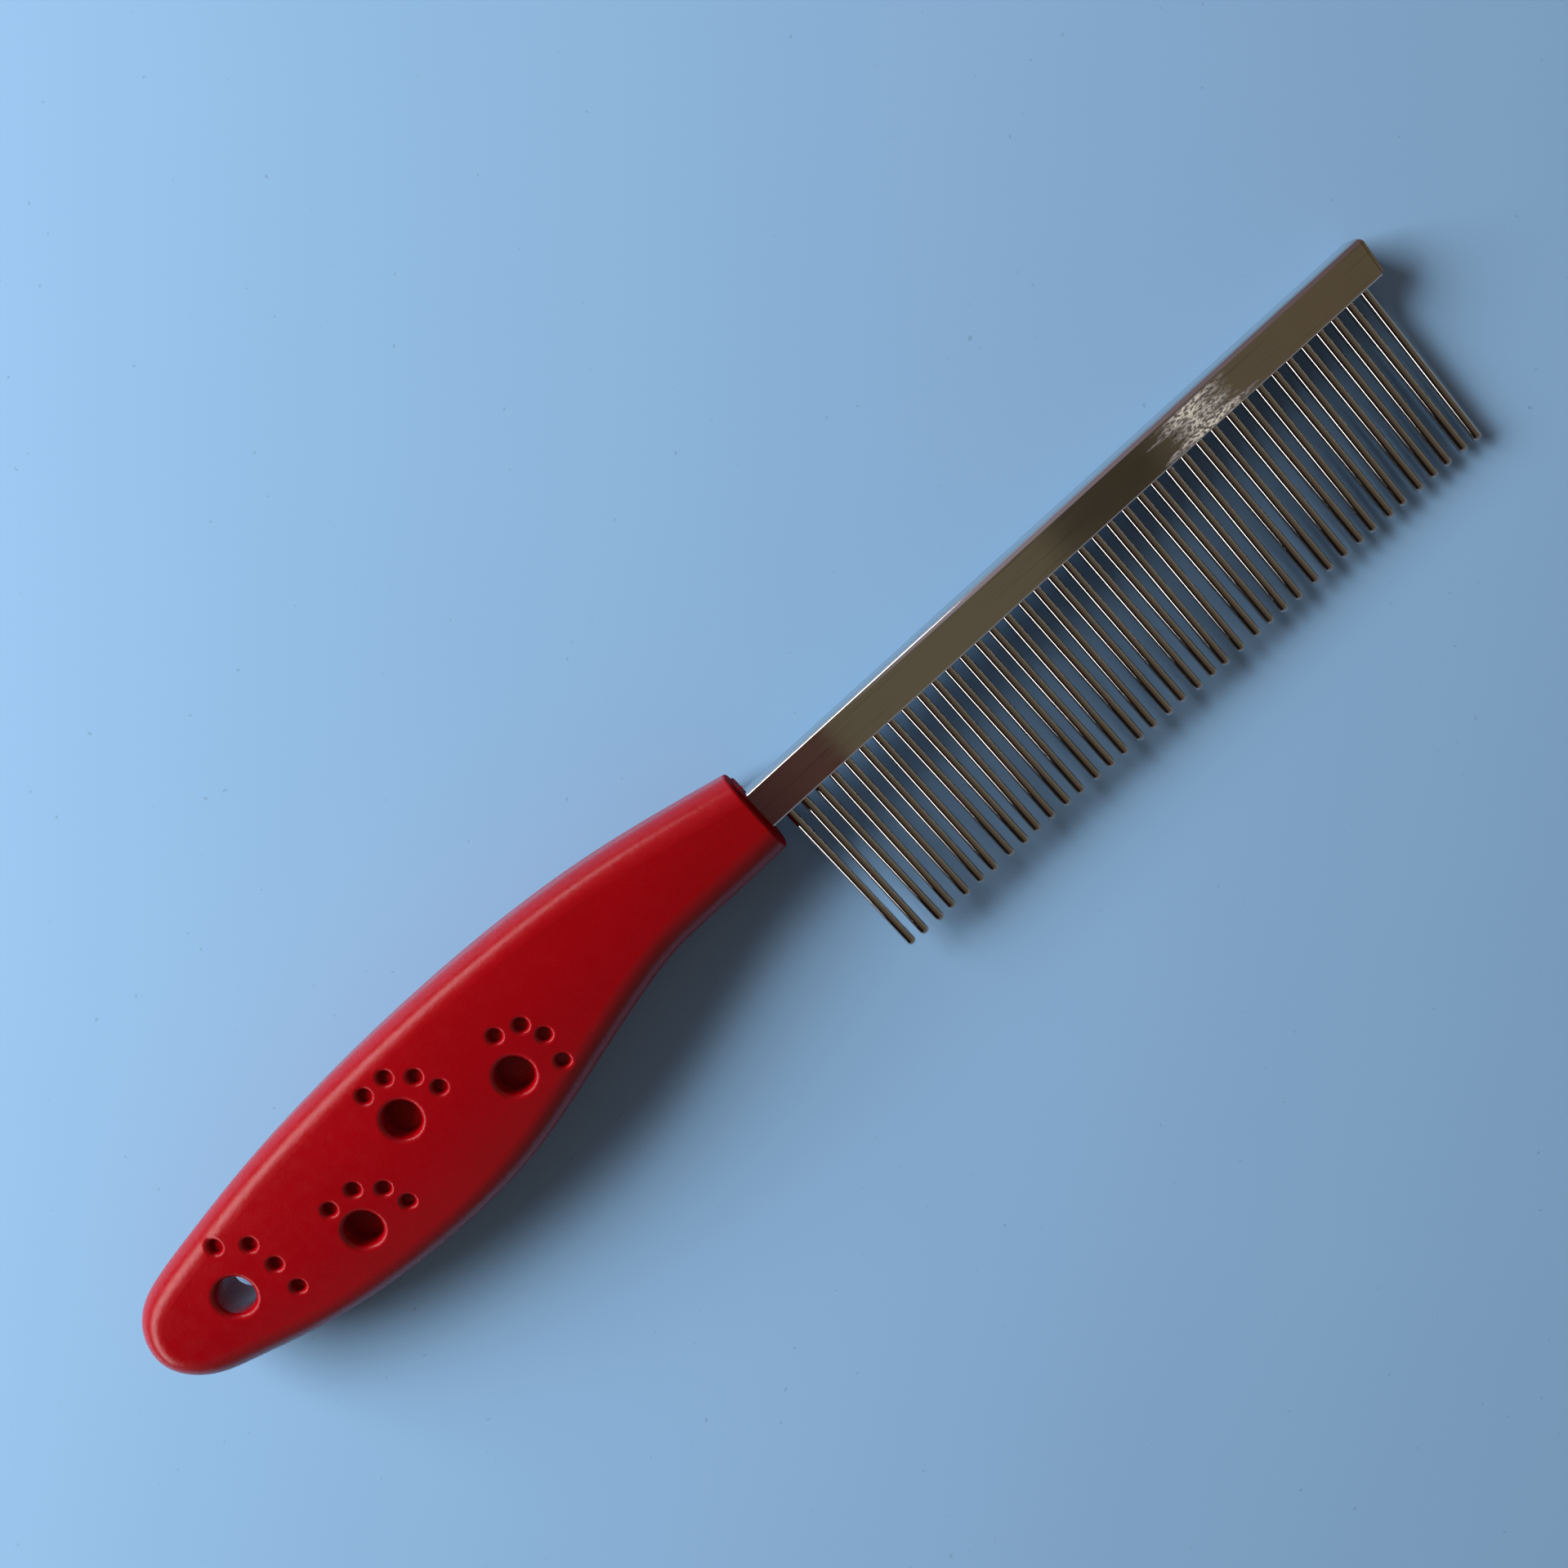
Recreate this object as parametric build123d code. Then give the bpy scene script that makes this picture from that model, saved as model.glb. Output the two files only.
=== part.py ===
from build123d import *
import math
import os

# Grooming comb: a moulded handle, a folded sheet-steel channel that runs on into the handle as a tang,
# a strip inside the channel, and a row of round pins pressed into the strip.
# Millimetres. While it is being built, X = 0 is the handle's mouth, Y = 0 the channel's mid height and
# Z = 0 the middle of the thickness. X runs to the comb's free end, the teeth point to -Y and the front
# faces +Z. The finished parts are then moved so that the origin is under the middle of the whole comb.

# Channel
CHANNEL_REACH = 103.2
CHANNEL_HEIGHT = 5.6
CHANNEL_WIDTH = 5.0
SHEET = 0.5
FOLD_RADIUS = 0.9
LIP_ROUND = 0.2
# The spine is hammered thinner where it folds down over the free end, and leans in towards the lips
TAB_PLATE = 0.32
TAB_RADIUS = 0.9
TAB_SLANT = 0.35
TAB_SEAM = 0.06
TAB_SHORTFALL = 0.35
TAB_ROOT = 1.5
TANG_LENGTH = 33.0
KEY_HOLE_DIAMETER = 2.6
KEY_HOLE_PLACES = (-10.0, -24.0)

# Strip and teeth
STRIP_START = 0.4
STRIP_END = 102.3
STRIP_RECESS = 0.6
STRIP_CLEARANCE = 0.02
TOOTH_COUNT = 40
TOOTH_PITCH = 2.5
TOOTH_DIAMETER = 1.3
TOOTH_EXPOSED = 24.6
TOOTH_SEAT = 3.6
TOOTH_TIP_ROUND = 0.55
TOOTH_TOP_CHAMFER = 0.2
TOOTH_CLEARANCE = 0.01
FIRST_TOOTH = 2.9
# Small errors of a hand-set row: place along X, lean along the row, tilt out of it (degrees) and length
PLACE_SCATTER = 0.08
LEAN_SCATTER = 0.45
TILT_SCATTER = 0.25
LENGTH_SCATTER = 0.08

# Handle, seen from the front: one curve from the mouth's upper corner, round the tip, to its lower corner
HANDLE_LENGTH = 108.1
HANDLE_OUTLINE = [
    (0, 6.0),
    (-20, 10.05),
    (-46, 12.15),
    (-70, 11.65),
    (-82.5, 10.5),
    (-94.1, 8.7),
    (-100.3, 7.5),
    (-105.1, 5.45),
    (-HANDLE_LENGTH, -1.45),
    (-104.1, -7.2),
    (-98.85, -9.3),
    (-89.85, -11.9),
    (-79.9, -13.75),
    (-66, -14.6),
    (-52.6, -13.75),
    (-36.8, -10),
    (-22.6, -6.6),
    (0, -5.95),
]
MOUTH_UPPER_SLOPE = (-1, 0.22)
MOUTH_LOWER_SLOPE = (1, 0.02)
# Thickness along the handle's crown, as (x, thickness); it is carried on past both ends of the handle
MOUTH_THICKNESS = 10.4
HANDLE_THICKNESS = [(12, 9.3), (0, MOUTH_THICKNESS), (-50, 13.4), (-91, 9.5), (-120, 7.5)]
BLANK_DEPTH = 30.0
CROWN_RADIUS = 58.0
CROWN_LINE = -1.6
SHOULDER_RADIUS = 4.0
MOUTH_ROUND = 0.45
MOULD_CLEARANCE = 0.02
# Raised lip of plastic round the channel at the mouth, higher on the spine side
FLASH_STEP = 0.3
FLASH_TOP = 4.8
FLASH_BOTTOM = -3.5
FLASH_WIDTH = 6.8
FLASH_CORNER = 1.0

# Paw prints, each as the pad's centre and its four toes; the first pad is the hanging hole
PAWS = [
    ((-92.7, -0.7), [(-89.9, 5.8), (-86.2, 3.1), (-85.6, -1.0), (-85.7, -5.2)]),
    ((-73.9, -5.3), [(-75.1, -0.4), (-70.9, -0.5), (-67.9, -3.0), (-66.9, -6.4)]),
    ((-59.7, 2.0), [(-61.2, 7.4), (-57.6, 7.4), (-54.6, 5.0), (-53.1, 1.9)]),
    ((-45.2, -3.5), [(-43.4, 2.0), (-40.0, 0.8), (-38.7, -2.1), (-39.4, -6.2)]),
]
HANG_HOLE_DIAMETER = 5.3
PAD_DIAMETER = 5.0
PAD_DEPTH = 3.4
TOE_DIAMETER = 1.75
TOE_DEPTH = 1.2
HOLE_ROUND = 0.75
TOE_ROUND = 0.6
RIM_TOLERANCE = 0.01

LIP_Y = -CHANNEL_HEIGHT / 2
SPINE_Y = CHANNEL_HEIGHT / 2
STRIP_BOTTOM = LIP_Y + STRIP_RECESS
STRIP_TOP = SPINE_Y - SHEET - STRIP_CLEARANCE


def box_between(low, high):
    size = [b - a for a, b in zip(low, high)]
    middle = [(a + b) / 2 for a, b in zip(low, high)]
    return Pos(*middle) * Box(*size)


def along_x(start, end, height, bottom, width, corner):
    """A bar along X, its two upper edges rounded."""
    bar = box_between((start, bottom, -width / 2), (end, bottom + height, width / 2))
    upper = bar.edges().filter_by(Axis.X).group_by(Axis.Y)[-1]
    return fillet(upper, corner)


def channel_walls(start, end, gap):
    """The U of sheet between two places along X, grown by gap on every side."""
    outer = along_x(
        start, end, CHANNEL_HEIGHT + 2 * gap, LIP_Y - gap, CHANNEL_WIDTH + 2 * gap, FOLD_RADIUS
    )
    inner_top = SPINE_Y - SHEET - gap
    inner_bottom = LIP_Y - 1
    inner = along_x(
        start - 1,
        end + 1,
        inner_top - inner_bottom,
        inner_bottom,
        CHANNEL_WIDTH - 2 * SHEET - 2 * gap,
        FOLD_RADIUS - SHEET,
    )
    return outer - inner


def key_holes(gap):
    """The punched holes across the tang, made smaller by gap."""
    hole = Cylinder(KEY_HOLE_DIAMETER / 2 - gap, 2 * CHANNEL_WIDTH)
    return [Pos(place, 0, 0) * hole for place in KEY_HOLE_PLACES]


def across(*corners):
    """A prism from one outline in the XY plane, well beyond the channel's width on both sides."""
    face = Pos(0, 0, -CHANNEL_WIDTH) * make_face(Polyline(*corners, close=True))
    return extrude(face, amount=2 * CHANNEL_WIDTH)


def end_x(y, inset):
    """Where the slanted free end is at height y, inset from its outer face."""
    return CHANNEL_REACH - inset - TAB_SLANT * (SPINE_Y - y) / CHANNEL_HEIGHT


def end_tab():
    """The spine folded down over the channel's free end."""
    start = CHANNEL_REACH - TAB_ROOT
    under = SPINE_Y - SHEET
    bottom = LIP_Y + TAB_SHORTFALL
    tab = across(
        (start, SPINE_Y),
        (CHANNEL_REACH, SPINE_Y),
        (end_x(bottom, 0), bottom),
        (end_x(bottom, TAB_PLATE), bottom),
        (end_x(under, TAB_PLATE), under),
        (start, under),
    )
    bend = tab.edges().filter_by(Axis.Z).sort_by(lambda e: e.center().X + e.center().Y)[-1]
    section = along_x(start, CHANNEL_REACH, CHANNEL_HEIGHT, LIP_Y, CHANNEL_WIDTH, FOLD_RADIUS)
    return fillet(bend, TAB_RADIUS) & section


def make_channel():
    channel = channel_walls(-TANG_LENGTH, CHANNEL_REACH, 0) - key_holes(0)
    inset = TAB_PLATE + TAB_SEAM
    beyond_walls = across(
        (end_x(LIP_Y, inset), LIP_Y),
        (CHANNEL_REACH, LIP_Y),
        (CHANNEL_REACH, SPINE_Y),
        (end_x(SPINE_Y, inset), SPINE_Y),
    )
    channel = channel - beyond_walls + end_tab()
    lips = channel.edges().filter_by(Axis.X).group_by(Axis.Y)[0]
    return fillet(lips, LIP_ROUND)


def scatter(index, series):
    """An uneven value between -1 and 1 for one tooth; each series is a different one."""
    return math.sin(series + (1 + series / 3) * index * index)


def pin(index, gap, seat):
    """One tooth, thicker by gap all round, from its tip to seat deep inside the strip."""
    place = FIRST_TOOTH + TOOTH_PITCH * index + PLACE_SCATTER * scatter(index, 1)
    lean = LEAN_SCATTER * scatter(index, 2)
    tilt = TILT_SCATTER * scatter(index, 3)
    reach = TOOTH_EXPOSED + STRIP_RECESS + LENGTH_SCATTER * scatter(index, 4)
    rod = Pos(0, 0, (reach - seat) / 2) * Cylinder(TOOTH_DIAMETER / 2 + gap, reach + seat)
    rod = fillet(rod.edges().sort_by(Axis.Z)[-1], TOOTH_TIP_ROUND)
    rod = chamfer(rod.edges().sort_by(Axis.Z)[0], TOOTH_TOP_CHAMFER)
    return Pos(place, STRIP_BOTTOM, 0) * Rot(tilt, 0, lean) * Rot(90, 0, 0) * rod


def make_strip():
    strip = along_x(
        STRIP_START,
        STRIP_END,
        STRIP_TOP - STRIP_BOTTOM,
        STRIP_BOTTOM,
        CHANNEL_WIDTH - 2 * SHEET - 2 * STRIP_CLEARANCE,
        FOLD_RADIUS - SHEET,
    )
    depth = TOOTH_SEAT + TOOTH_CLEARANCE
    return strip - [pin(index, TOOTH_CLEARANCE, depth) for index in range(TOOTH_COUNT)]


def handle_blank():
    """The handle's outline carried through its thickness, between two crowned faces."""
    outline = Spline(*HANDLE_OUTLINE, tangents=(MOUTH_UPPER_SLOPE, MOUTH_LOWER_SLOPE))
    mouth = Line(HANDLE_OUTLINE[-1], HANDLE_OUTLINE[0])
    face = Pos(0, 0, -BLANK_DEPTH / 2) * make_face([outline, mouth])
    back = crowned_barrel()
    return extrude(face, amount=BLANK_DEPTH) & back & mirror(back, Plane.XY)


def crowned_barrel():
    """A barrel along X whose lowest skin is the handle's back face."""
    axis_z = CROWN_RADIUS - MOUTH_THICKNESS / 2
    skin = [(x, 2 * axis_z + thickness / 2) for x, thickness in HANDLE_THICKNESS]
    closing = Polyline(skin[-1], (skin[-1][0], axis_z), (skin[0][0], axis_z), skin[0])
    profile = Pos(0, CROWN_LINE, 0) * Rot(90, 0, 0) * make_face([Spline(*skin), closing])
    return revolve(profile, Axis((0, CROWN_LINE, axis_z), (1, 0, 0)))


def flash_lip():
    """The raised lip on the mouth's face, its root sunk into the handle."""
    lip = box_between((-1, FLASH_BOTTOM, -FLASH_WIDTH / 2), (FLASH_STEP, FLASH_TOP, FLASH_WIDTH / 2))
    return fillet(lip.edges().filter_by(Axis.X), FLASH_CORNER)


def blind_holes(centres, diameter, depth):
    """Cutters for holes that go in from both faces, down to depth below the skin."""
    back = Pos(0, 0, depth) * crowned_barrel()
    core = back & mirror(back, Plane.XY)
    return [Pos(*centre) * Cylinder(diameter / 2, BLANK_DEPTH) - core for centre in centres]


def is_rim(edge, centre, diameter):
    """True for a curved edge that runs round a hole, at its skin or its floor."""
    if edge.geom_type in (GeomType.LINE, GeomType.CIRCLE):
        return False
    points = [edge.position_at(part) for part in (0, 0.5, 1)]
    return all(
        abs(math.hypot(point.X - centre[0], point.Y - centre[1]) - diameter / 2) < RIM_TOLERANCE
        for point in points
    )


def round_rims(body, centres, diameter, depth, radius):
    """Rounds the outer rims of all the holes of one diameter."""
    rims = []
    for centre in centres:
        edges = [edge for edge in body.edges() if is_rim(edge, centre, diameter)]
        skin = max(abs(edge.center().Z) for edge in edges)
        rims += [edge for edge in edges if abs(edge.center().Z) > skin - depth / 2]
    return fillet(rims, radius)


def make_handle():
    blank = handle_blank()
    shoulders = [edge for edge in blank.edges() if edge.center().X < -1]
    body = fillet(shoulders, SHOULDER_RADIUS)
    body = fillet(body.edges().group_by(Axis.X)[-1], MOUTH_ROUND)
    hang_hole = PAWS[0][0]
    pads = [pad for pad, toes in PAWS[1:]]
    toes = [toe for pad, toes in PAWS for toe in toes]
    body = body - Pos(*hang_hole) * Cylinder(HANG_HOLE_DIAMETER / 2, BLANK_DEPTH)
    body = body - blind_holes(pads, PAD_DIAMETER, PAD_DEPTH) - blind_holes(toes, TOE_DIAMETER, TOE_DEPTH)
    body = round_rims(body, [hang_hole], HANG_HOLE_DIAMETER, BLANK_DEPTH, HOLE_ROUND)
    body = round_rims(body, pads, PAD_DIAMETER, PAD_DEPTH, HOLE_ROUND)
    body = round_rims(body, toes, TOE_DIAMETER, TOE_DEPTH, TOE_ROUND)
    body = body + flash_lip()
    gap = MOULD_CLEARANCE
    tang = channel_walls(-TANG_LENGTH - gap, FLASH_STEP + 1, gap) - key_holes(gap)
    return body - tang


def make_parts():
    """Every piece by its name, where it sits in the comb."""
    parts = {
        "handle": make_handle(),
        "comb_channel": make_channel(),
        "pin_strip": make_strip(),
    }
    for index in range(TOOTH_COUNT):
        parts[f"tooth_{index + 1:02d}"] = pin(index, 0, TOOTH_SEAT)
    return parts


if __name__ == "__main__":
    os.makedirs("parts", exist_ok=True)
    parts = make_parts()
    whole = Compound(list(parts.values())).bounding_box()
    middle = whole.center()
    to_origin = Pos(-middle.X, -middle.Y, -whole.min.Z)
    for name, piece in parts.items():
        export_step(to_origin * piece, f"parts/{name}.step")
    print("moved by", to_origin.position)
    print("size", whole.size)
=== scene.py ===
import math

import bmesh
import bpy
from mathutils import Matrix, Vector


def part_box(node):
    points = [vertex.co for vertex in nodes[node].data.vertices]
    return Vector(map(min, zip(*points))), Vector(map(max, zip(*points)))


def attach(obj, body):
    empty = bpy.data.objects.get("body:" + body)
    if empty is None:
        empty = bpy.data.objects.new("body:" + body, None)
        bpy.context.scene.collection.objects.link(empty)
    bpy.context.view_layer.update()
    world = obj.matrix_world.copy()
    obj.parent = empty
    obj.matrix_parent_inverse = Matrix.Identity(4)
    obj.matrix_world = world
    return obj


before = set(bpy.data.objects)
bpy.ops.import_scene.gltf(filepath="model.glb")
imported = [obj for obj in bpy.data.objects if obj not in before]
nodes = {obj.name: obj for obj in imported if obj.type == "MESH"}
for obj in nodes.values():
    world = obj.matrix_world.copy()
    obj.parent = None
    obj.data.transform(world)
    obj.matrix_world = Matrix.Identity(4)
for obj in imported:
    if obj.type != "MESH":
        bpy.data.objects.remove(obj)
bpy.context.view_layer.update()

MM = 0.001

# Places, from the frame: the channel runs along +X out of the handle's mouth, the teeth point to -Y
channel_low, channel_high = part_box("comb_channel")
handle_low, handle_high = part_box("handle")
mid_y = (channel_low.y + channel_high.y) / 2
mid_z = (channel_low.z + channel_high.z) / 2
free_end = Vector((channel_high.x, mid_y, mid_z))
FLASH_STEP = 0.3 * MM
mouth_x = handle_high.x - FLASH_STEP


# ---------------------------------------------------------------- camera

CAMERA_FROM_END = Vector((-85.956, 31.907, 199.34)) * MM
AIM_FROM_END = Vector((-98.303, 0.007, 0)) * MM
CAMERA_ROLL = 42.7897


def add_camera():
    data = bpy.data.cameras.new("camera")
    data.lens = 36.02
    data.sensor_width = 36.0
    data.clip_start = 0.01
    data.clip_end = 20.0
    camera = bpy.data.objects.new("camera", data)
    bpy.context.scene.collection.objects.link(camera)
    place = free_end + CAMERA_FROM_END
    forward = (free_end + AIM_FROM_END - place).normalized()
    level = Vector((0, 1, 0))
    level = (level - forward * level.dot(forward)).normalized()
    up = Matrix.Rotation(math.radians(CAMERA_ROLL), 3, forward) @ level
    right = forward.cross(up)
    turn = Matrix((right, up, -forward)).transposed()
    camera.matrix_world = Matrix.Translation(place) @ turn.to_4x4()
    bpy.context.scene.camera = camera


# ---------------------------------------------------------------- material nodes

def new_material(name):
    material = bpy.data.materials.new(name)
    material.use_nodes = True
    tree = material.node_tree
    return material, tree, tree.nodes["Principled BSDF"]


def stretched(tree, scale):
    """Object-space coordinates, scaled by a number for each axis."""
    place = tree.nodes.new("ShaderNodeTexCoord")
    mapping = tree.nodes.new("ShaderNodeMapping")
    mapping.inputs["Scale"].default_value = scale
    tree.links.new(place.outputs["Object"], mapping.inputs["Vector"])
    return mapping.outputs["Vector"]


def noise(tree, scale, detail=2.0, rough=0.5, stretch=(1, 1, 1), distortion=0.0):
    texture = tree.nodes.new("ShaderNodeTexNoise")
    texture.inputs["Scale"].default_value = scale
    texture.inputs["Detail"].default_value = detail
    texture.inputs["Roughness"].default_value = rough
    texture.inputs["Distortion"].default_value = distortion
    tree.links.new(stretched(tree, stretch), texture.inputs["Vector"])
    return texture.outputs["Fac"]


def remap(tree, value, low, high, to_low, to_high):
    node = tree.nodes.new("ShaderNodeMapRange")
    node.inputs["From Min"].default_value = low
    node.inputs["From Max"].default_value = high
    node.inputs["To Min"].default_value = to_low
    node.inputs["To Max"].default_value = to_high
    tree.links.new(value, node.inputs["Value"])
    return node.outputs["Result"]


def math_node(tree, kind, a, b=None):
    node = tree.nodes.new("ShaderNodeMath")
    node.operation = kind
    for socket, value in zip(node.inputs, (a, b)):
        if value is None:
            continue
        if isinstance(value, (int, float)):
            socket.default_value = value
        else:
            tree.links.new(value, socket)
    return node.outputs["Value"]


def mix_color(tree, factor, a, b):
    node = tree.nodes.new("ShaderNodeMix")
    node.data_type = "RGBA"
    for socket, value in ((node.inputs["Factor"], factor), (node.inputs["A"], a), (node.inputs["B"], b)):
        if isinstance(value, bpy.types.NodeSocket):
            tree.links.new(value, socket)
        else:
            socket.default_value = value
    return [socket for socket in node.outputs if socket.type == "RGBA"][0]


def bump(tree, height, strength, distance, below=None):
    node = tree.nodes.new("ShaderNodeBump")
    node.inputs["Strength"].default_value = strength
    node.inputs["Distance"].default_value = distance
    tree.links.new(height, node.inputs["Height"])
    if below is not None:
        tree.links.new(below, node.inputs["Normal"])
    return node.outputs["Normal"]


def axis_value(tree, axis):
    """The object-space place along one axis, in metres."""
    place = tree.nodes.new("ShaderNodeTexCoord")
    split = tree.nodes.new("ShaderNodeSeparateXYZ")
    tree.links.new(place.outputs["Object"], split.inputs["Vector"])
    return split.outputs[axis]


def dress(name, material):
    mesh = nodes[name].data
    mesh.materials.clear()
    mesh.materials.append(material)


# ---------------------------------------------------------------- materials

def red_plastic():
    material, tree, shader = new_material("red_plastic")
    mottle = noise(tree, 90, 3, 0.6)
    deep = (0.27, 0.0, 0.002, 1)
    bright = (0.33, 0.0, 0.004, 1)
    tree.links.new(mix_color(tree, mottle, deep, bright), shader.inputs["Base Color"])
    shader.inputs["Subsurface Weight"].default_value = 0.15
    shader.inputs["Subsurface Radius"].default_value = (1.0, 0.04, 0.04)
    shader.inputs["Subsurface Scale"].default_value = 1.2 * MM
    shader.inputs["IOR"].default_value = 1.46
    # the mouth's end is dull
    end = remap(tree, axis_value(tree, "X"), mouth_x - 0.5 * MM, mouth_x - 0.1 * MM, 0, 1)
    tree.links.new(remap(tree, end, 0, 1, 0.48, 0.05), shader.inputs["Specular IOR Level"])
    rough = remap(tree, noise(tree, 500, 4, 0.65), 0.3, 0.7, 0.23, 0.31)
    dull = math_node(tree, "MULTIPLY", end, 0.4)
    tree.links.new(math_node(tree, "ADD", rough, dull), shader.inputs["Roughness"])
    grain = noise(tree, 2900, 2, 0.6)
    wave = noise(tree, 260, 2, 0.5)
    scuff = noise(tree, 900, 3, 0.6, (0.2, 3.0, 1.0), 0.4)
    normal = bump(tree, wave, 0.1, 0.05 * MM)
    normal = bump(tree, scuff, 0.06, 0.03 * MM, normal)
    normal = bump(tree, grain, 0.7, 0.03 * MM, normal)
    tree.links.new(normal, shader.inputs["Normal"])
    return material


def chrome():
    material, tree, shader = new_material("channel_chrome")
    x = axis_value(tree, "X")
    # a crumpled, rubbed patch at about three quarters of the channel's length, with a painted highlight
    # on its creases
    away = math_node(tree, "ABSOLUTE", math_node(tree, "SUBTRACT", x, mouth_x + 73.5 * MM))
    streaks = noise(tree, 700, 3, 0.6, (0.12, 1.0, 1.0))
    ragged = math_node(tree, "ADD", away, remap(tree, streaks, 0.3, 0.7, 6 * MM, -3 * MM))
    patch = remap(tree, ragged, 1 * MM, 7 * MM, 1.0, 0.0)
    # it stops below the fold
    fold_y = channel_high.y - 0.9 * MM
    on_face = remap(tree, axis_value(tree, "Y"), fold_y, fold_y - 0.3 * MM, 0.0, 1.0)
    patch = math_node(tree, "MULTIPLY", patch, on_face)
    lines = noise(tree, 1500, 2, 0.5, (0.015, 1.0, 1.0))
    base = remap(tree, lines, 0.35, 0.65, 0.04, 0.08)
    rough = math_node(tree, "ADD", base, math_node(tree, "MULTIPLY", patch, 0.16))
    tree.links.new(rough, shader.inputs["Roughness"])
    tint = mix_color(tree, noise(tree, 60, 2, 0.5), (0.60, 0.58, 0.55, 1), (0.68, 0.67, 0.65, 1))
    scratches = remap(tree, noise(tree, 2600, 2, 0.5, (0.02, 1.0, 1.0)), 0.62, 0.7, 0.0, 0.6)
    color = mix_color(tree, scratches, tint, (0.40, 0.37, 0.34, 1))
    # The lower lip's rounded edge is tinted near-white: a painted highlight, the bright line where that
    # edge catches the window.
    lip_y = channel_low.y + 0.25 * MM
    lip_highlight = remap(tree, axis_value(tree, "Y"), lip_y, lip_y - 0.1 * MM, 0.0, 1.0)
    color = mix_color(tree, lip_highlight, color, (0.97, 0.95, 0.95, 1))
    creases = noise(tree, 3600, 3, 0.6, (0.45, 1.0, 1.0))
    crumple = math_node(tree, "MULTIPLY", creases, patch)
    # The crease tops on the rubbed patch are made pale, warm and non-metallic: a painted highlight that
    # stands for the window's glint on the rubbed metal.
    rub_and_painted_glint = math_node(tree, "MULTIPLY", patch, remap(tree, creases, 0.42, 0.55, 0.0, 0.95))
    color = mix_color(tree, rub_and_painted_glint, color, (0.90, 0.82, 0.68, 1))
    tree.links.new(color, shader.inputs["Base Color"])
    tree.links.new(remap(tree, rub_and_painted_glint, 0, 1, 1, 0.1), shader.inputs["Metallic"])
    normal = bump(tree, lines, 0.08, 0.01 * MM)
    normal = bump(tree, crumple, 0.8, 0.25 * MM, normal)
    tree.links.new(normal, shader.inputs["Normal"])
    return material


def nickel():
    material, tree, shader = new_material("pin_nickel")
    drawn = noise(tree, 2500, 2, 0.5, (1.0, 0.02, 1.0))
    tint = noise(tree, 120, 2, 0.5)
    tree.links.new(
        mix_color(tree, tint, (0.54, 0.50, 0.47, 1), (0.64, 0.61, 0.59, 1)), shader.inputs["Base Color"]
    )
    shader.inputs["Metallic"].default_value = 1
    tree.links.new(remap(tree, drawn, 0.3, 0.7, 0.03, 0.06), shader.inputs["Roughness"])
    tree.links.new(bump(tree, drawn, 0.01, 0.01 * MM), shader.inputs["Normal"])
    return material


def strip_metal():
    material, tree, shader = new_material("strip_metal")
    drawn = noise(tree, 1200, 2, 0.5, (0.03, 1.0, 1.0))
    tree.links.new(
        mix_color(tree, drawn, (0.45, 0.45, 0.45, 1), (0.6, 0.6, 0.6, 1)), shader.inputs["Base Color"]
    )
    shader.inputs["Metallic"].default_value = 1
    tree.links.new(remap(tree, drawn, 0.3, 0.7, 0.35, 0.5), shader.inputs["Roughness"])
    return material


def table_top():
    material, tree, shader = new_material("table_top")
    cloud = noise(tree, 12, 3, 0.5)
    pale = mix_color(tree, cloud, (0.275, 0.49, 0.75, 1), (0.30, 0.52, 0.78, 1))
    speck = noise(tree, 800, 1, 0.5)
    dark = remap(tree, speck, 0.77, 0.8, 0.0, 0.35)
    tree.links.new(mix_color(tree, dark, pale, (0.12, 0.2, 0.3, 1)), shader.inputs["Base Color"])
    shader.inputs["Roughness"].default_value = 0.45
    tree.links.new(bump(tree, noise(tree, 1500, 2, 0.5), 0.08, 0.02 * MM), shader.inputs["Normal"])
    return material


# ---------------------------------------------------------------- small pieces

def add_burr(material):
    """A hair of moulding flash that curls out of the mouth's end on the spine's side."""
    root = Vector((mouth_x - 0.2 * MM, mid_y + 4.1 * MM, mid_z + 3.6 * MM))
    bend = root + Vector((0.7, -0.15, 0.1)) * MM
    tip = root + Vector((1.35, -0.05, 0.15)) * MM
    steps = 8
    sides = 6
    maker = bmesh.new()
    rings = []
    for step in range(steps):
        t = step / (steps - 1)
        centre = root.lerp(bend, t).lerp(bend.lerp(tip, t), t)
        radius = (0.13 * (1 - t) + 0.035 * t) * MM
        ring = []
        for side in range(sides):
            angle = math.tau * side / sides
            offset = Vector((0, math.cos(angle), math.sin(angle))) * radius
            ring.append(maker.verts.new(centre + offset))
        rings.append(ring)
    for near, far in zip(rings, rings[1:]):
        for side in range(sides):
            after = (side + 1) % sides
            maker.faces.new((near[side], near[after], far[after], far[side]))
    maker.faces.new(rings[0][::-1])
    maker.faces.new(rings[-1])
    bmesh.ops.recalc_face_normals(maker, faces=maker.faces)
    mesh = bpy.data.meshes.new("mouth_burr")
    maker.to_mesh(mesh)
    maker.free()
    mesh.shade_smooth()
    mesh.materials.append(material)
    burr = bpy.data.objects.new("mouth_burr", mesh)
    bpy.context.scene.collection.objects.link(burr)
    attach(burr, "root")


# ---------------------------------------------------------------- surroundings

# The comb lies on its handle's belly and the channel's free end, which tilts the table in the frame
TABLE_NORMAL = Vector((-0.0302, 0.0405, 0.9987)).normalized()
TABLE_SIDE = 3.0
# What lights the comb: a window beyond the handle's upper side. It is kept out of the reflections.
WINDOW = {"azimuth": 130, "elevation": 24, "reach": 0.8, "width": 0.62, "height": 0.42, "power": 12.5}
# What shines in the plastic and the metal: the whole window front, long and low. It lights nothing.
SHINE = {"azimuth": 139.5, "elevation": 26, "reach": 0.75, "width": 2.0, "height": 0.2, "power": 6.2}
WINDOW_COLOR = (0.97, 0.98, 1.0)


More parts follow.
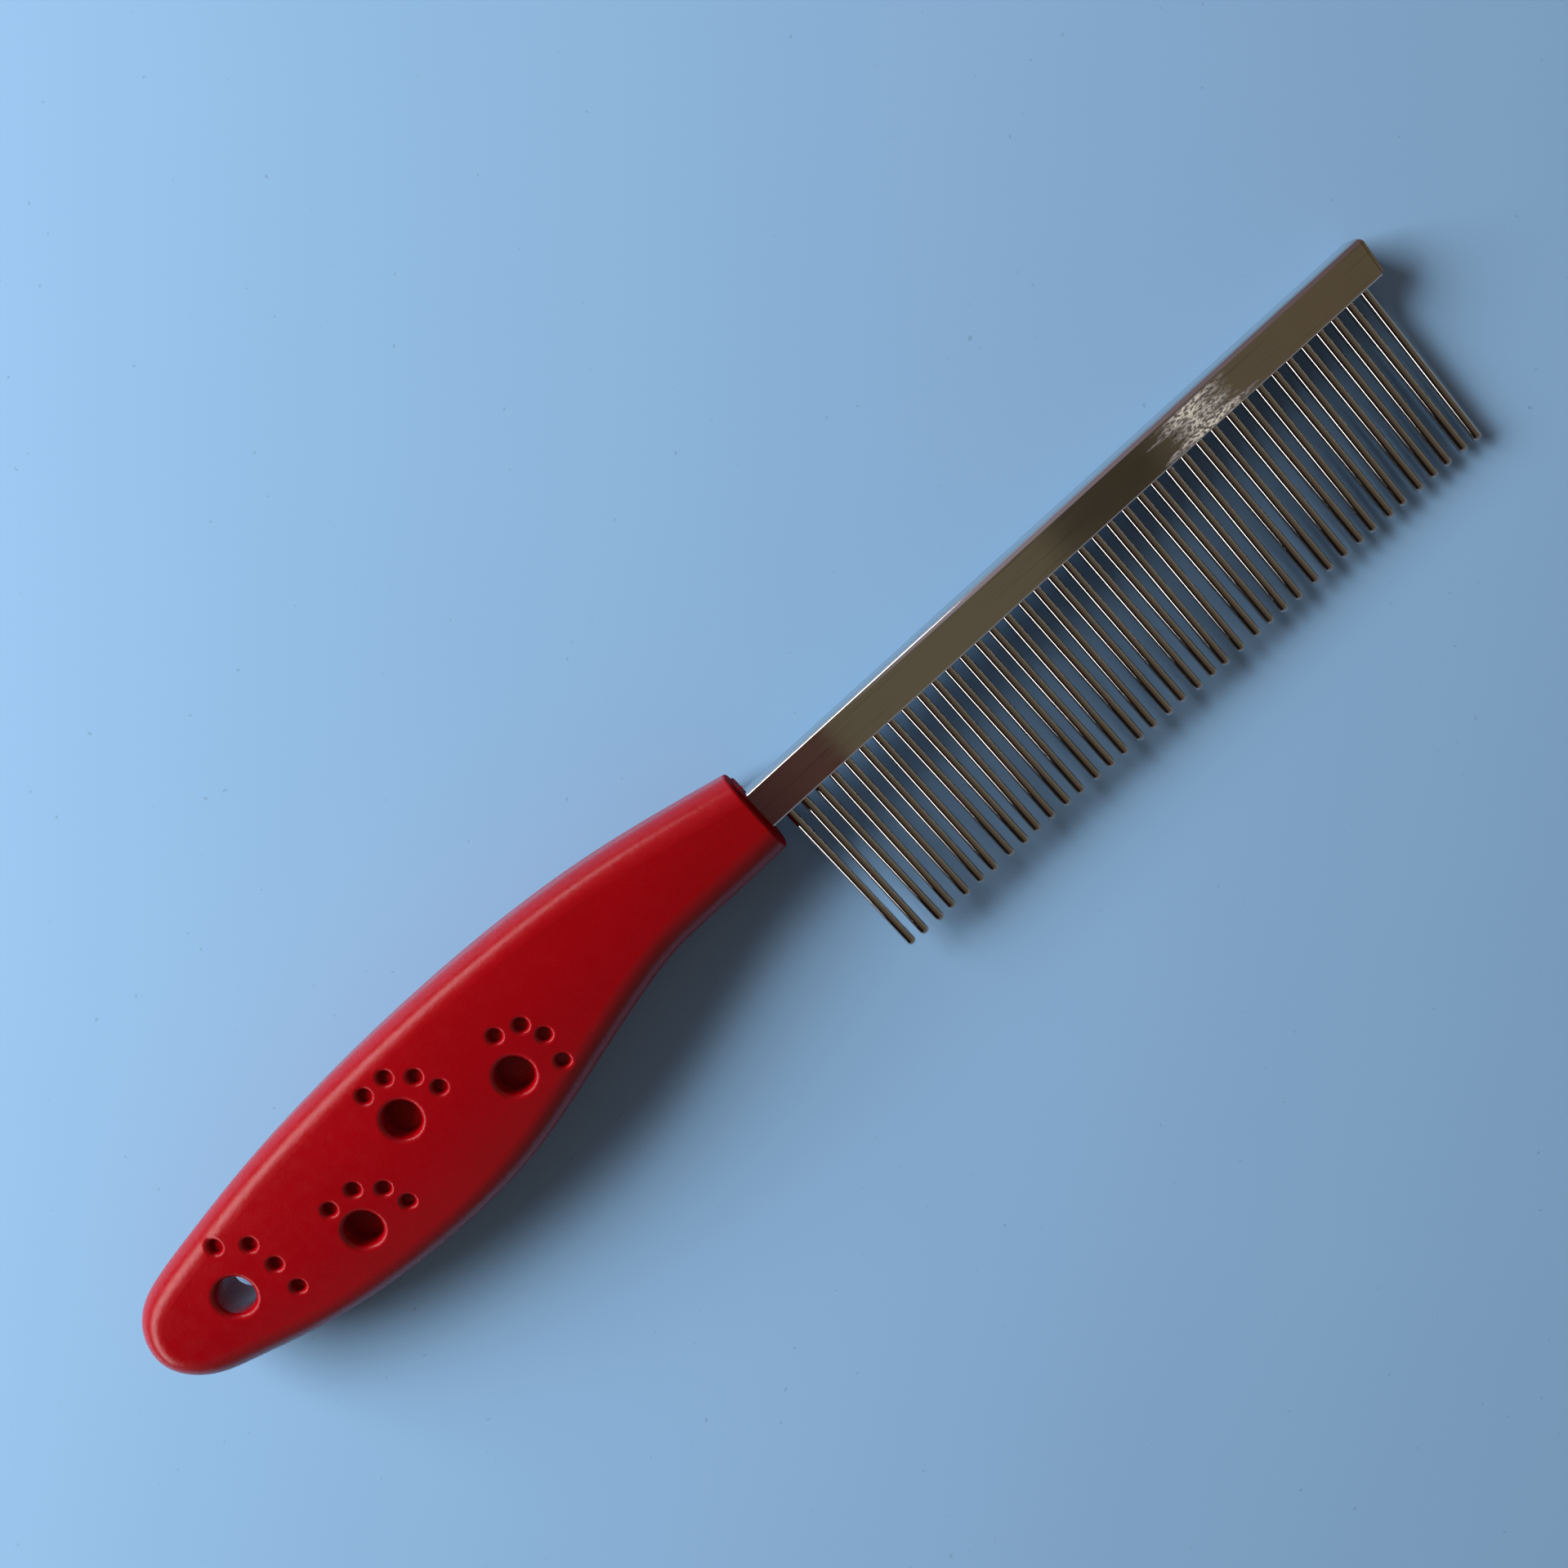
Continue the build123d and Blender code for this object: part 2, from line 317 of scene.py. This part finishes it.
def add_table():
    contact = Vector((channel_high.x, channel_low.y, channel_low.z))
    mesh = bpy.data.meshes.new("table")
    maker = bmesh.new()
    bmesh.ops.create_grid(maker, x_segments=1, y_segments=1, size=TABLE_SIDE / 2)
    maker.to_mesh(mesh)
    maker.free()
    table = bpy.data.objects.new("table", mesh)
    bpy.context.scene.collection.objects.link(table)
    drop = contact.dot(TABLE_NORMAL) / TABLE_NORMAL.z
    tilt = Vector((0, 0, 1)).rotation_difference(TABLE_NORMAL).to_matrix().to_4x4()
    table.matrix_world = Matrix.Translation((0, 0, drop)) @ tilt
    mesh.materials.append(table_top())


def direction(azimuth, elevation):
    a = math.radians(azimuth)
    e = math.radians(elevation)
    return Vector((math.cos(a) * math.cos(e), math.sin(a) * math.cos(e), math.sin(e)))


def add_light(name, place):
    """A rectangular light that faces the comb from a direction given in degrees."""
    data = bpy.data.lights.new(name, "AREA")
    data.shape = "RECTANGLE"
    data.size = place["width"]
    data.size_y = place["height"]
    data.energy = place["power"]
    data.color = WINDOW_COLOR
    light = bpy.data.objects.new(name, data)
    bpy.context.scene.collection.objects.link(light)
    spot = direction(place["azimuth"], place["elevation"]) * place["reach"]
    facing = (-spot).to_track_quat("-Z", "Y").to_matrix().to_4x4()
    light.matrix_world = Matrix.Translation(spot) @ facing
    return light


# What the chrome sees overhead, from the window's side to the far side, by the direction's X
ROOM_BANDS = [
    (-0.90, (0.004, 0.004, 0.004)),
    (-0.55, (0.012, 0.01, 0.01)),
    (-0.25, (0.075, 0.055, 0.042)),
    (-0.09, (0.045, 0.018, 0.018)),
    (-0.04, (0.095, 0.045, 0.038)),
    (-0.021, (0.075, 0.038, 0.03)),
    (-0.017, (0.135, 0.112, 0.075)),
    (0.155, (0.13, 0.11, 0.072)),
    (0.175, (0.06, 0.048, 0.033)),
    (0.235, (0.052, 0.041, 0.026)),
    (0.265, (0.125, 0.1, 0.07)),
    (0.36, (0.13, 0.1, 0.062)),
    (0.60, (0.11, 0.09, 0.065)),
    (0.84, (0.13, 0.115, 0.09)),
    (0.90, (0.26, 0.25, 0.2)),
    (0.985, (0.22, 0.21, 0.17)),
]
# The pale wall on the window's side, beyond the window's end, by the direction's X
WALL_BANDS = [
    (0.04, (0.4, 0.35, 0.42)),
    (0.20, (0.26, 0.21, 0.25)),
    (0.45, (0.12, 0.075, 0.08)),
]
NEAR_SIDE = (0.16, 0.15, 0.155, 1)
BACKDROP = (0.55, 0.62, 0.68, 1)


def bands(tree, x, stops):
    """A colour ramp over the direction's X."""
    ramp = tree.nodes.new("ShaderNodeValToRGB")
    tree.links.new(remap(tree, x, -1, 1, 0, 1), ramp.inputs["Fac"])
    elements = ramp.color_ramp.elements
    while len(elements) < len(stops):
        elements.new(0.5)
    for element, (place, color) in zip(elements, stops):
        element.position = (place + 1) / 2
        element.color = (*color, 1)
    return ramp.outputs["Color"]


def add_world():
    world = bpy.data.worlds.new("room")
    bpy.context.scene.world = world
    world.use_nodes = True
    tree = world.node_tree
    back = tree.nodes["Background"]
    place = tree.nodes.new("ShaderNodeTexCoord")
    split = tree.nodes.new("ShaderNodeSeparateXYZ")
    tree.links.new(place.outputs["Generated"], split.inputs["Vector"])
    x = split.outputs["X"]
    y = split.outputs["Y"]
    far_side = math_node(tree, "MULTIPLY", remap(tree, y, 0.15, 0.35, 0, 1), remap(tree, x, 0, 0.1, 0, 1))
    sky = mix_color(tree, far_side, bands(tree, x, ROOM_BANDS), bands(tree, x, WALL_BANDS))
    sky = mix_color(tree, remap(tree, y, -0.3, -0.36, 0, 1), sky, NEAR_SIDE)
    path = tree.nodes.new("ShaderNodeLightPath")
    seen = path.outputs["Is Camera Ray"]
    tree.links.new(mix_color(tree, seen, sky, BACKDROP), back.inputs["Color"])


# ---------------------------------------------------------------- making

add_camera()
add_table()
window = add_light("window", WINDOW)
window.visible_glossy = False
shine = add_light("shine", SHINE)
shine.visible_diffuse = False
add_world()
bpy.context.scene.view_settings.view_transform = "Standard"

plastic = red_plastic()
dress("handle", plastic)
add_burr(plastic)
dress("comb_channel", chrome())
dress("pin_strip", strip_metal())
pin_material = nickel()
for name in nodes:
    if name.startswith("tooth_"):
        dress(name, pin_material)
